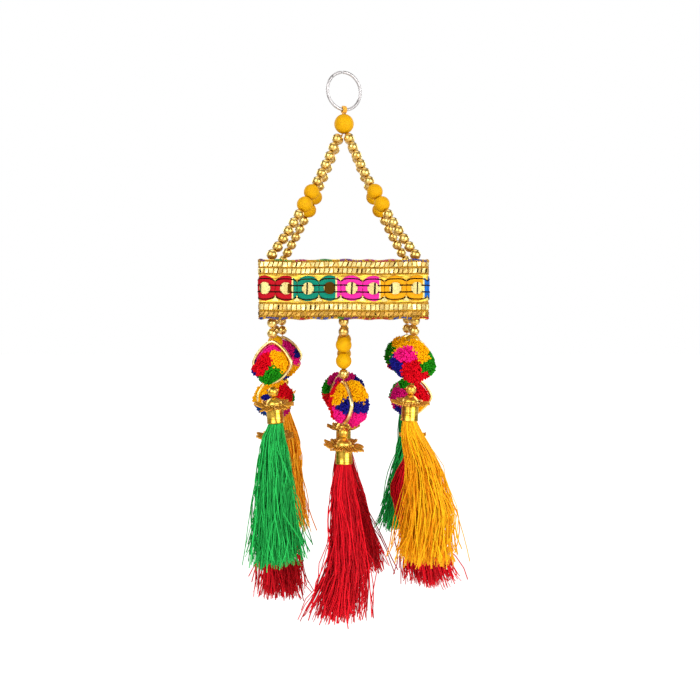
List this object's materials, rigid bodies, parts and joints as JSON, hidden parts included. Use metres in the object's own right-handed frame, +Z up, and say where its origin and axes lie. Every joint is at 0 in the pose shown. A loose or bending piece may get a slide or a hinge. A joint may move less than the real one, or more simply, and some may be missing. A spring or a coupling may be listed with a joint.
{
  "type": "jhoomar wall hanging on a square card frame",
  "caption": "Hanging ornament: a wire ring and bead strands carry a square frame bound in gota lace, with pompom and tassel drops.",
  "frame": {"origin": "inside top of the wire ring, where it hangs from a hook", "axes": "+Z up along the hanging line, -Y towards the front face of the lace frame, +X to its right"},
  "size_m": [0.0918, 0.0841, 0.24],
  "materials": {
    "steel_wire": "bright nickel-plated wire",
    "yellow_thread": "twisted yellow thread",
    "yellow_bead": "satin opaque yellow plastic",
    "gold_bead": "bright metallised gold plastic",
    "gold_moulding": "metallised gold moulding with thin flash",
    "gold_ferrule": "polished rolled sheet",
    "card": "plain stiff board",
    "gota_lace": "gold foil weave with satin-stitched rings",
    "pompom_yarn": "cut acrylic yarn in patches of colour",
    "green_yarn": "silky rayon thread",
    "amber_yarn": "silky rayon thread",
    "orange_yarn": "silky rayon thread",
    "red_yarn": "silky rayon thread"
  },
  "bodies": {
    "root": {"hanging_ring": "steel_wire", "tie_loop": "yellow_thread", "crown_bead": "yellow_bead", "frame": "card", "lace_band": "gota_lace", "strand_front_left": "gold_bead", "strand_front_right": "gold_bead", "strand_back_left": "gold_bead", "strand_back_right": "gold_bead", "beads_front_left": "gold_bead", "loop_front_left": "gold_moulding", "pompom_front_left": "pompom_yarn", "cap_front_left": "gold_moulding", "ferrule_front_left": "gold_ferrule", "tassel_front_left": "green_yarn", "beads_front_right": "gold_bead", "loop_front_right": "gold_moulding", "pompom_front_right": "pompom_yarn", "cap_front_right": "gold_moulding", "ferrule_front_right": "gold_ferrule", "tassel_front_right": "amber_yarn", "beads_back_left": "gold_bead", "loop_back_left": "gold_moulding", "pompom_back_left": "pompom_yarn", "cap_back_left": "gold_moulding", "ferrule_back_left": "gold_ferrule", "tassel_back_left": "orange_yarn", "beads_back_right": "gold_bead", "loop_back_right": "gold_moulding", "pompom_back_right": "pompom_yarn", "cap_back_right": "gold_moulding", "ferrule_back_right": "gold_ferrule", "tassel_back_right": "green_yarn", "beads_front_mid": "gold_bead", "loop_front_mid": "gold_moulding", "pompom_front_mid": "pompom_yarn", "cap_front_mid": "gold_moulding", "ferrule_front_mid": "gold_ferrule", "tassel_front_mid": "red_yarn", "beads_back_mid": "gold_bead", "loop_back_mid": "gold_moulding", "pompom_back_mid": "pompom_yarn", "cap_back_mid": "gold_moulding", "ferrule_back_mid": "gold_ferrule", "tassel_back_mid": "red_yarn", "beads_left_mid": "gold_bead", "loop_left_mid": "gold_moulding", "pompom_left_mid": "pompom_yarn", "cap_left_mid": "gold_moulding", "ferrule_left_mid": "gold_ferrule", "tassel_left_mid": "red_yarn", "beads_right_mid": "gold_bead", "loop_right_mid": "gold_moulding", "pompom_right_mid": "pompom_yarn", "cap_right_mid": "gold_moulding", "ferrule_right_mid": "gold_ferrule", "tassel_right_mid": "red_yarn"}
  },
  "joints": []
}
